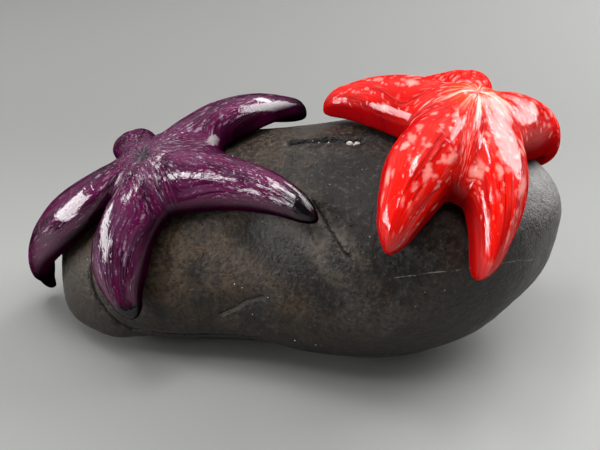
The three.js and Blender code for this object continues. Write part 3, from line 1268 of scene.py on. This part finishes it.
    def grains(self, stone: bpy.types.Object, finish: QuartzFinish) -> bpy.types.Object:
        """Makes the quartz grains: the few that sit in the crack and small ones all over.

        Args:
            stone: The worn stone.
            finish: The quartz's finish.

        Returns:
            The grains.
        """
        chance = np.random.default_rng(23)
        small = self.skin(unit(chance.normal(size=(self.small_grains, 3)) + self.grain_way))
        small = small[small[:, 2] > self.lowest_grain]
        large = np.array(self.crack_grains)
        sizes = np.concatenate([large[:, 3], chance.uniform(*self.small_sizes, len(small))])
        spots, facing = rest_on(stone, np.concatenate([large[:, :3], small]) + self.shift)
        piece = new_piece("quartz_grains", spots, [], {"grain_size": sizes, "facing": facing})
        jig = Jig("grains")
        sheet = jig.sheet
        rough, rough_size = jig.size("Roughness", 0.5), jig.size("Roughness size", 1.1)
        seed = jig.size("Seed", 3)
        ball = sheet.node("GeometryNodeMeshIcoSphere", None, {"Radius": MM, "Subdivisions": 2})["Mesh"]
        sockets = {"Vector": jig.attribute("facing")}
        turn = sheet.node("FunctionNodeAlignRotationToVector", {"axis": "Z"}, sockets)["Rotation"]
        scale = sheet.stretch(jig.attribute("grain_size", "FLOAT"), self.grain_stretch)
        sockets = {"Points": jig.start["Geometry"], "Instance": ball, "Rotation": turn, "Scale": scale}
        placed = sheet.node("GeometryNodeInstanceOnPoints", None, sockets)["Instances"]
        real = sheet.node("GeometryNodeRealizeInstances", None, {"Geometry": placed})["Geometry"]
        jig.finish(real, sheet.stray(jig.place(), rough_size, rough, 1, seed), finish.material())
        jig.run(piece)
        return piece


def geodesic(fineness: int) -> tuple[np.ndarray, list]:
    """Makes an even ball of triangles.

    Args:
        fineness: How many parts each edge of the icosahedron is cut into.

    Returns:
        The points, each at distance 1 from the middle, and the triangles.
    """
    golden = (1 + math.sqrt(5)) / 2
    corners = []
    for a, b in ((1, golden), (1, -golden), (-1, golden), (-1, -golden)):
        corners += [(0, a, b), (a, b, 0), (b, 0, a)]
    corners = unit(np.array(corners))
    longest = 1.05 * 2 / math.sqrt(golden * math.sqrt(5))
    triples = []
    for triple in combinations(range(len(corners)), 3):
        first, second, third = corners[list(triple)]
        sides = (first - second, second - third, third - first)
        if all(np.linalg.norm(side) < longest for side in sides):
            outward = np.cross(second - first, third - first) @ first > 0
            triples.append(triple if outward else (triple[0], triple[2], triple[1]))
    points, faces = [], []
    for triple in triples:
        number = {}
        for row in range(fineness + 1):
            for place in range(fineness + 1 - row):
                weights = np.array((fineness - row - place, place, row)) / fineness
                number[row, place] = len(points)
                points.append(weights @ corners[list(triple)])
        for row, place in number:
            if row + place < fineness:
                faces.append((number[row, place], number[row, place + 1], number[row + 1, place]))
            if row + place < fineness - 1:
                faces.append((number[row, place + 1], number[row + 1, place + 1], number[row + 1, place]))
    points = unit(np.array(points))
    _, first, where = np.unique(np.round(points, 6), axis=0, return_index=True, return_inverse=True)
    return points[first], where.ravel()[np.array(faces)].tolist()


# ---------------------------------------------------------------- the starfish


@dataclass(frozen=True)
class Arm:
    """One arm of a starfish.

    Head and bend are degrees off the even spacing and along the arm, length, width and height are
    factors, and lift is how far the tip rises. The web is how much further out than its even place
    the notch before the next arm lies, and dust is how thickly the arm is dusted with frit.
    """

    name: str
    head: float
    bend: float
    length: float
    width: float
    lift: float
    height: float
    web: float
    dust: float


BLENDED = ("head", "bend", "length", "width", "lift", "height", "dust")


@dataclass
class Starfish:
    """One glass starfish: five tapering arms that melt into a disc, laid over the stone.

    The arms taper from the root's width to the tip's, and their dome from the crown's height to the
    tip's. The sole is the glass below their middle plane, and the gather is how wide the puckered
    middle of the disc is. Each pair below the arms is two shares of the way out between which
    something sets in or ends.
    """

    name: str
    slot: Slot
    centre: Pair
    turn: float
    reach: float
    root_width: float
    tip_width: float
    taper: float
    tip_round: float
    crown: float
    tip_height: float
    melt: float
    arms: tuple[Arm, ...]
    sole: float = 6
    dimple: float = 2
    gather: float = 6
    bed_gap: float = 0.4
    lift_from: float = 0.35
    web_sides: Pair = (0.35, 1)
    web_from: Pair = (0.05, 0.25)
    fan_from: Pair = (0.15, 0.6)
    length_from: Pair = (0.25, 1)
    height_from: Pair = (0.1, 0.45)
    height_ends: Pair = (0.6, 1)
    back_reach: float = 0.8
    lowest: float = -8
    fan_start: float = 0.4
    ring_crowding: float = 1.5
    tip_crowding: float = 0.75
    weld: float = 0.004
    disc_rings: int = 30
    arm_rows: int = 84
    half_row: int = 24
    walk_step: float = 5.0
    girth: float = 32.0

    def fullness(self, x: np.ndarray, y: np.ndarray) -> np.ndarray:
        """Measures the flat drawing, where the arm in question lies along +X.

        Args:
            x: Distances along the arm.
            y: Distances across it.

        Returns:
            1 on an arm's middle line, 0 on the outline and negative values outside.
        """
        total = 0.0
        for k in range(ARMS):
            cos, sin = math.cos(k * SECTOR), math.sin(k * SECTOR)
            along = x * cos + y * sin
            across = y * cos - x * sin
            reached = np.clip(along / self.reach, 0, 1)
            width = mix(self.root_width, self.tip_width, reached**self.taper)
            past_tip = np.maximum(0, along - (self.reach - self.tip_round)) / self.tip_round
            past_back = np.maximum(0, -along) / (self.back_reach * self.root_width)
            value = 1 - (across / width) ** 2 - past_tip**2 - past_back**2
            total = total + np.exp(self.melt * np.maximum(self.lowest, value))
        return np.log(total) / self.melt

    def half_width(self, x: np.ndarray) -> np.ndarray:
        """Finds the outline's distance from the arm's middle line, at most to the next sector."""
        return border(lambda y: self.fullness(x, y) > 0, np.zeros_like(x), x * HALF_SECTOR_SLOPE)

    def notch(self) -> float:
        """Finds how far out the webs end, on the line between two arms."""
        return float(border(lambda x: self.fullness(x, x * HALF_SECTOR_SLOPE) > 0, 0, self.reach))

    def rim(self) -> np.ndarray:
        """Tells which places of an arm's rows and columns are on its outline."""
        found = np.zeros((self.disc_rings + self.arm_rows + 1, 2 * self.half_row + 1), bool)
        found[self.disc_rings:, [0, -1]] = True
        found[-1] = True
        return found

    def drawing(self) -> tuple[np.ndarray, np.ndarray]:
        """Lays out one arm's share of the flat drawing.

        Returns:
            Distances along the arm and distances across it, one row for each step outwards and one
            column for each place across.
        """
        notch = self.notch()
        ring = np.linspace(0, 1, self.disc_rings + 1)
        t = np.linspace(0, 1, self.arm_rows + 1)[1:]
        inner = notch * (1 - (1 - ring) ** self.ring_crowding)
        outer = mix(notch, self.reach, mix(t, np.sin(t * math.pi / 2), self.tip_crowding))
        x = np.concatenate([inner, outer])
        half = x * HALF_SECTOR_SLOPE
        beyond = np.arange(len(x)) > self.disc_rings
        half[beyond] = self.half_width(x[beyond])
        half[-1] = 0
        v = np.linspace(-1, 1, 2 * self.half_row + 1)
        crowding = smoothstep(x, self.fan_start * notch, notch)[:, None]
        across = half[:, None] * mix(v, np.sin(v * math.pi / 2), crowding)
        return np.repeat(x[:, None], len(v), axis=1), across

    def flow(self, x: np.ndarray, y: np.ndarray) -> np.ndarray:
        """Tells which of the glass's lines of flow a place lies on.

        The lines run straight out from the centre, bend smoothly past the webs and follow the arm.

        Args:
            x: Distances along the arm.
            y: Distances across it.

        Returns:
            0 on the arm's middle line, and -1 or 1 on the lines to its neighbours.
        """
        notch = self.notch()
        past = np.maximum(0, x - notch)
        edge = np.where(past > 0, self.half_width(x), x * HALF_SECTOR_SLOPE)
        corner = HALF_SECTOR_SLOPE + 1 / HALF_SECTOR_SLOPE
        edge = edge + corner * past * np.exp(-past / self.gather)
        across = np.clip(y / np.maximum(edge, TINY), -1, 1)
        return mix(across, np.arcsin(across) * 2 / math.pi, smoothstep(x, self.fan_start * notch, notch))

    def blended(self, k: int, side: np.ndarray, share: np.ndarray) -> dict[str, np.ndarray]:
        """Blends an arm's values with those of the neighbour on each point's side.

        Args:
            k: The arm's number.
            side: Positive towards the next arm and negative towards the one before.
            share: How much of the neighbour's value counts.

        Returns:
            The values by name, one for each point.
        """
        own, left, right = self.arms[k], self.arms[(k + 1) % ARMS], self.arms[k - 1]
        found = {}
        for key in BLENDED:
            neighbour = np.where(side > 0, getattr(left, key), getattr(right, key))
            found[key] = mix(getattr(own, key), neighbour, share)
        return found

    def walk(self, stone: Stone, heading: np.ndarray, distance: np.ndarray) -> tuple[np.ndarray, np.ndarray]:
        """Walks over the stone's skin from the starfish's centre.

        Args:
            stone: The stone.
            heading: The angle in which each walk sets out.
            distance: How far each walk goes.

        Returns:
            The points reached, and the skin's normals there.
        """
        foot = stone.top_at(*self.centre)
        up = unit(stone.slope(foot))
        right = along_slope(np.array((1.0, 0.0, 0.0)), up)
        ahead = np.cross(up, right)
        way = np.cos(heading)[:, None] * right + np.sin(heading)[:, None] * ahead
        points = np.repeat(foot[None], len(heading), axis=0)
        normals = np.repeat(up[None], len(heading), axis=0)
        steps = math.ceil(distance.max() / self.walk_step)
        stride = (distance / steps)[:, None]
        for _ in range(steps):
            way = along_slope(way, normals)
            reached = points + way * stride
            slope = stone.slope(reached)
            rate = np.sum(slope * slope, axis=-1)
            reached = reached - slope * (stone.level(reached) / rate)[:, None]
            normals = slope / np.sqrt(rate)[:, None]
            way = np.where(stride > TINY, unit(reached - points), way)
            points = reached
        points = stone.settle(points)
        return points, unit(stone.slope(points))

    def drape(self, stone: Stone) -> dict[str, np.ndarray]:
        """Lays the flat drawing over the stone.

        Args:
            stone: The stone.

        Returns:
            Upper and lower points, the pull of the glass and its lay above and below, each as one
            block with an arm, a row, a column and three numbers.
        """
        x, y = self.drawing()
        distance, angle = np.hypot(x, y), np.arctan2(y, x)
        share = smoothstep(np.abs(angle / SECTOR), 0, 1)
        reached = np.minimum(1, distance / self.reach)
        off_seam = 1 - np.minimum(1, np.abs(2 * angle) / SECTOR) ** 2
        near_seam = smoothstep(np.abs(2 * angle) / SECTOR, *self.web_sides)
        near_seam = near_seam * smoothstep(reached, *self.web_from)
        midway = smoothstep(reached, *self.height_from) - smoothstep(reached, *self.height_ends)
        swell = np.where(self.rim(), 0, np.maximum(0, self.fullness(x, y)))
        full = np.minimum(1, swell)
        crest = np.sqrt(full)
        girth = self.girth * (1 - np.exp(-distance / self.gather))
        pinch = self.dimple * np.exp(-((distance / self.gather) ** 2))
        risen = np.maximum(0, (reached - self.lift_from) / (1 - self.lift_from)) ** 2
        flow = self.flow(x, y)
        out = {"upper": [], "lower": [], "pull": [], "lay_upper": [], "lay_lower": []}
        for k in range(ARMS):
            own = self.blended(k, angle, share)
            fan = angle * mix(1, own["width"], off_seam * smoothstep(reached, *self.fan_from))
            heading = np.radians(self.turn + own["head"] + own["bend"] * reached**2) + k * SECTOR + fan
            web = np.where(angle > 0, self.arms[k].web, self.arms[k - 1].web)
            stretch = mix(1, own["length"], smoothstep(reached, *self.length_from))
            stretch = stretch * (1 + web * near_seam)
            foot, normal = self.walk(stone, heading.ravel(), (distance * stretch).ravel())
            foot, normal = foot.reshape(*x.shape, 3), normal.reshape(*x.shape, 3)
            fed = mix(1, own["height"], midway)
            dome = fed * mix(self.crown, self.tip_height, reached**self.taper)
            waist = self.bed_gap + self.sole + own["lift"] * risen
            over = waist + dome * np.sqrt(swell) - pinch
            under = waist - self.sole * full**0.25 * np.minimum(1, dome / self.crown + 0.25)
            around = (k + flow / 2) * SECTOR
            out["upper"].append(foot + normal * over[..., None])
            out["lower"].append(foot + normal * under[..., None])
            pull = [girth * np.cos(around), girth * np.sin(around), distance * stretch]
            out["pull"].append(np.stack(pull, -1))
            out["lay_upper"].append(np.stack([reached, crest, own["dust"]], -1))
            out["lay_lower"].append(np.stack([reached, -crest, own["dust"]], -1))
        return {key: np.stack(value) for key, value in out.items()}

    def build(self, stone: Stone, finish: GlassFinish) -> bpy.types.Object:
        """Makes the starfish as one closed skin.

        Args:
            stone: The stone that it lies on.
            finish: The glass's finish.

        Returns:
            The starfish, in place over its packed disc and arms.
        """
        laid = self.drape(stone)
        rows = {key: block.reshape(-1, 3) for key, block in laid.items()}
        points = np.concatenate([rows["upper"], rows["lower"]])
        values = {
            "pull": np.concatenate([rows["pull"], rows["pull"]]),
            "lay": np.concatenate([rows["lay_upper"], rows["lay_lower"]]),
        }
        above = np.arange(len(rows["upper"])).reshape(laid["upper"].shape[:3])
        below = np.where(self.rim(), above, above + above.size)
        faces = []
        for number, order in ((above, (0, 1, 2, 3)), (below, (3, 2, 1, 0))):
            corners = (number[:, :-1, :-1], number[:, 1:, :-1], number[:, 1:, 1:], number[:, :-1, 1:])
            faces += np.stack([corners[place] for place in order], -1).reshape(-1, 4).tolist()
        piece = new_piece(f"{self.name}_starfish", points + stone.shift, faces, values)
        smooth_closed(piece, merge=self.weld * MM)
        self.hand_work(finish.material()).run(piece)
        return piece

    def hand_work(self, material: bpy.types.Material) -> Jig:
        """Draws the jig that leaves the maker's pulls in the glass and puckers it round the centre.

        Args:
            material: The glass's material.

        Returns:
            The jig.
        """
        jig = Jig(f"{self.name}_hand_work")
        sheet = jig.sheet
        width, length = jig.size("Pull width", 7), jig.size("Pull length", 26)
        height = jig.size("Pull height", 0.7)
        pucker_reach = jig.size("Pucker reach", 15)
        pucker_depth = jig.size("Pucker depth", 1.3)
        seed = jig.size("Seed", 2)
        pull = jig.attribute("pull")
        along = sheet.parts(pull)[2]
        crest = sheet.parts(jig.attribute("lay"))[1]
        pulls = sheet.noise(pull, (width, width, length), 1.5, seed=seed)["Fac"] - 0.5
        folds = sheet.noise(pull, (width * 0.5, width * 0.5, length * 2), 1, seed=seed + 3)["Fac"] - 0.5
        near = along.fade(pucker_reach, 2) * along.fade(0, 3)
        lift = (pulls * height * 2 + folds * pucker_depth * near) * crest.fade(-0.3, 0.5)
        jig.finish(jig.start["Geometry"], jig.outwards(lift), material)
        return jig

    def nodes(self) -> list[str]:
        """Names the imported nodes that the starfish's one skin stands for."""
        return [f"{self.name}_disc"] + [f"{self.name}_arm_{arm.name}" for arm in self.arms]


def purple_starfish() -> Starfish:
    """Gives the long-armed purple starfish over the narrow end."""
    arms = (
        Arm("back_right", -0.9, 5.8, 1.1, 1.5, 2.5, 1.35, -0.25, 0.75),
        Arm("back", 5.3, -5.7, 0.9, 0.75, 0, 0.6, -0.2, 0.8),
        Arm("left", 6.4, -9.5, 1.14, 1.45, 7.5, 0.95, -0.08, 0.5),
        Arm("front", -20, 15, 0.71, 1.49, 3.5, 1, 0.18, 0.7),
        Arm("right", 10.5, -10.4, 0.955, 0.92, 0, 1.05, 0.45, 0.7),
    )
    return Starfish(
        "purple", Slot.PURPLE, centre=(-80, -7.5), turn=45.5, reach=110, root_width=14.6, tip_width=4.9,
        taper=2.5, tip_round=12.5, crown=12.2, tip_height=6.8, melt=3.85, arms=arms,
    )


def red_starfish() -> Starfish:
    """Gives the thick red starfish over the broad end."""
    arms = (
        Arm("left", -14, 7.8, 0.97, 1.13, 0, 1.07, -0.06, 0.55),
        Arm("front_left", 12.8, 6, 0.9, 1.35, 1.5, 1, 0.44, 0.6),
        Arm("front_right", -15, -7.2, 0.84, 0.98, 2.7, 1, -0.1, 0.9),
        Arm("right", 29.3, 4.3, 0.98, 0.95, 3.5, 1.1, 0, 1),
        Arm("back", -4.2, 24.5, 0.97, 1.22, 14.8, 1.25, 0, 0.8),
    )
    return Starfish(
        "red", Slot.RED, centre=(87, -17), turn=148.5, reach=92, root_width=20, tip_width=4.7,
        taper=1.65, tip_round=11.5, crown=25.5, tip_height=9.8, melt=3.8, arms=arms,
    )


# ---------------------------------------------------------------- the studio


@dataclass(frozen=True)
class Panel:
    """A soft light panel, aimed at the sculpture, which may be kept out of its mirror gloss."""

    name: str
    azimuth: float
    elevation: float
    width: float
    depth: float
    watts: float
    mirrored: bool = True


@dataclass
class Studio:
    """The pale floor, the soft lights and the camera, in metres."""

    aim_off_stone: Pair = (0.001, -0.0065)
    aim_height: float = 0.0635
    camera_distance: float = 0.42
    camera_elevation: float = 30.0
    lens: float = 42.0
    sensor: float = 36.0
    nearest_seen: float = 0.01
    floor_half: float = 6.0
    floor_back: Colour = (0.158, 0.158, 0.153)
    floor_front: Colour = (0.235, 0.235, 0.228)
    floor_fades: Pair = (-0.35, 0.12)
    floor_ends: Pair = (1.3, 2.5)
    floor_roughness: float = 0.75
    sky_front: Colour = (0.06, 0.06, 0.06)
    sky_back: Colour = (0.5, 0.5, 0.5)
    sky_fades: Pair = (-0.2, 1.0)
    sky_tilt: float = 0.2
    backdrop: Colour = (0.5, 0.5, 0.5)
    panel_distance: float = 2.2
    panels: tuple[Panel, ...] = (
        Panel("left_window", -80, 18, 1.9, 0.62, 42),
        Panel("left_high_window", -64, 52, 0.3, 0.3, 4),
        Panel("right_window", 126, 32, 1.5, 2.0, 74),
        Panel("high_window", -112, 74, 0.65, 0.34, 11),
        Panel("back_window", 158, 31, 0.5, 0.25, 6),
        Panel("ceiling", 0, 86, 2.0, 2.0, 54, mirrored=False),
    )

    def floor(self) -> None:
        """Lays the floor, which runs out into the backdrop far from the sculpture."""
        half = self.floor_half / MM
        corners = np.array(((-half, -half, 0), (half, -half, 0), (half, half, 0), (-half, half, 0)))
        piece = new_piece("floor", corners, [(0, 1, 2, 3)], {})
        material, sheet, shader = new_material("pale_floor")
        place = sheet.node("ShaderNodeTexCoord")["Object"]
        # Painted light: the floor's colour is lighter towards the front and darker behind.
        shade = (-sheet.parts(place)[1]).fade(*self.floor_fades)
        colour = sheet.tint(shade, self.floor_back, self.floor_front)
        away = sheet.node("ShaderNodeVectorMath", {"operation": "LENGTH"}, {0: place})["Value"]
        beyond = away.fade(*self.floor_ends)
        sheet.feed(shader, {
            "Base Color": sheet.tint(beyond, colour, BLACK),
            "Emission Color": sheet.tint(beyond, BLACK, self.backdrop),
            "Emission Strength": 1.0,
            "Roughness": self.floor_roughness,
        })
        piece.data.materials.append(material)

    def light(self) -> None:
        """Sets the room's light, dim in front and brighter behind, its pale backdrop, and the panels."""
        world = bpy.data.worlds.new("studio")
        world.use_nodes = True
        sheet = Sheet(world.node_tree)
        _, back, up = sheet.parts(sheet.node("ShaderNodeTexCoord")["Generated"])
        share = (back + up * self.sky_tilt).fade(*self.sky_fades)
        room = sheet.tint(share, self.sky_front, self.sky_back)
        straight = sheet.node("ShaderNodeLightPath")["Is Camera Ray"]
        sky = sheet.tint(straight, room, self.backdrop)
        sheet.feed(world.node_tree.nodes["Background"], {"Color": sky})
        bpy.context.scene.world = world
        for panel in self.panels:
            lamp = bpy.data.lights.new(panel.name, "AREA")
            lamp.shape = "RECTANGLE"
            lamp.size, lamp.size_y = panel.width, panel.depth
            lamp.energy = panel.watts
            holder = self.aimed(lamp, panel.azimuth, panel.elevation, self.panel_distance)
            holder.visible_glossy = panel.mirrored

    def camera(self) -> None:
        """Places the camera in front of the sculpture."""
        data = bpy.data.cameras.new("camera")
        data.lens, data.sensor_width = self.lens, self.sensor
        data.clip_start = self.nearest_seen
        bpy.context.scene.camera = self.aimed(data, 0, self.camera_elevation, self.camera_distance)

    def aimed(self, data: bpy.types.ID, azimuth: float, elevation: float,
              distance: float) -> bpy.types.Object:
        """Puts a light or camera on a circle round the sculpture and turns it to look there.

        Args:
            data: The light or camera.
            azimuth: Degrees round from the front, 90 being at +X.
            elevation: Degrees above the horizon.
            distance: How far away it is.

        Returns:
            Its object.
        """
        holder = bpy.data.objects.new(data.name, data)
        bpy.context.scene.collection.objects.link(holder)
        turn, tilt = math.radians(azimuth), math.radians(elevation)
        away = Vector((math.sin(turn) * math.cos(tilt), -math.cos(turn) * math.cos(tilt), math.sin(tilt)))
        middle = (STONE_LOW + STONE_HIGH) / 2
        aim = Vector((middle[0] + self.aim_off_stone[0], middle[1] + self.aim_off_stone[1], self.aim_height))
        holder.location = aim + away * distance
        holder.rotation_euler = away.to_track_quat("Z", "Y").to_euler()
        return holder


def main() -> None:
    """Builds the sculpture and its studio."""
    logging.basicConfig(level=logging.INFO, format="%(name)s: %(message)s")
    studio = Studio()
    studio.camera()
    studio.floor()
    studio.light()
    stone = Stone()
    worn = stone.build(StoneFinish())
    settle_in(worn, Slot.STONE, "stone")
    settle_in(stone.vein(worn, STAINED_QUARTZ), Slot.STONE)
    settle_in(stone.grains(worn, MILKY_QUARTZ), Slot.STONE)
    for star, finish in ((purple_starfish(), PURPLE_GLASS), (red_starfish(), RED_GLASS)):
        settle_in(star.build(stone, finish), star.slot, *star.nodes())
    bpy.context.scene.view_settings.view_transform = "Standard"


if __name__ == "__main__":
    main()
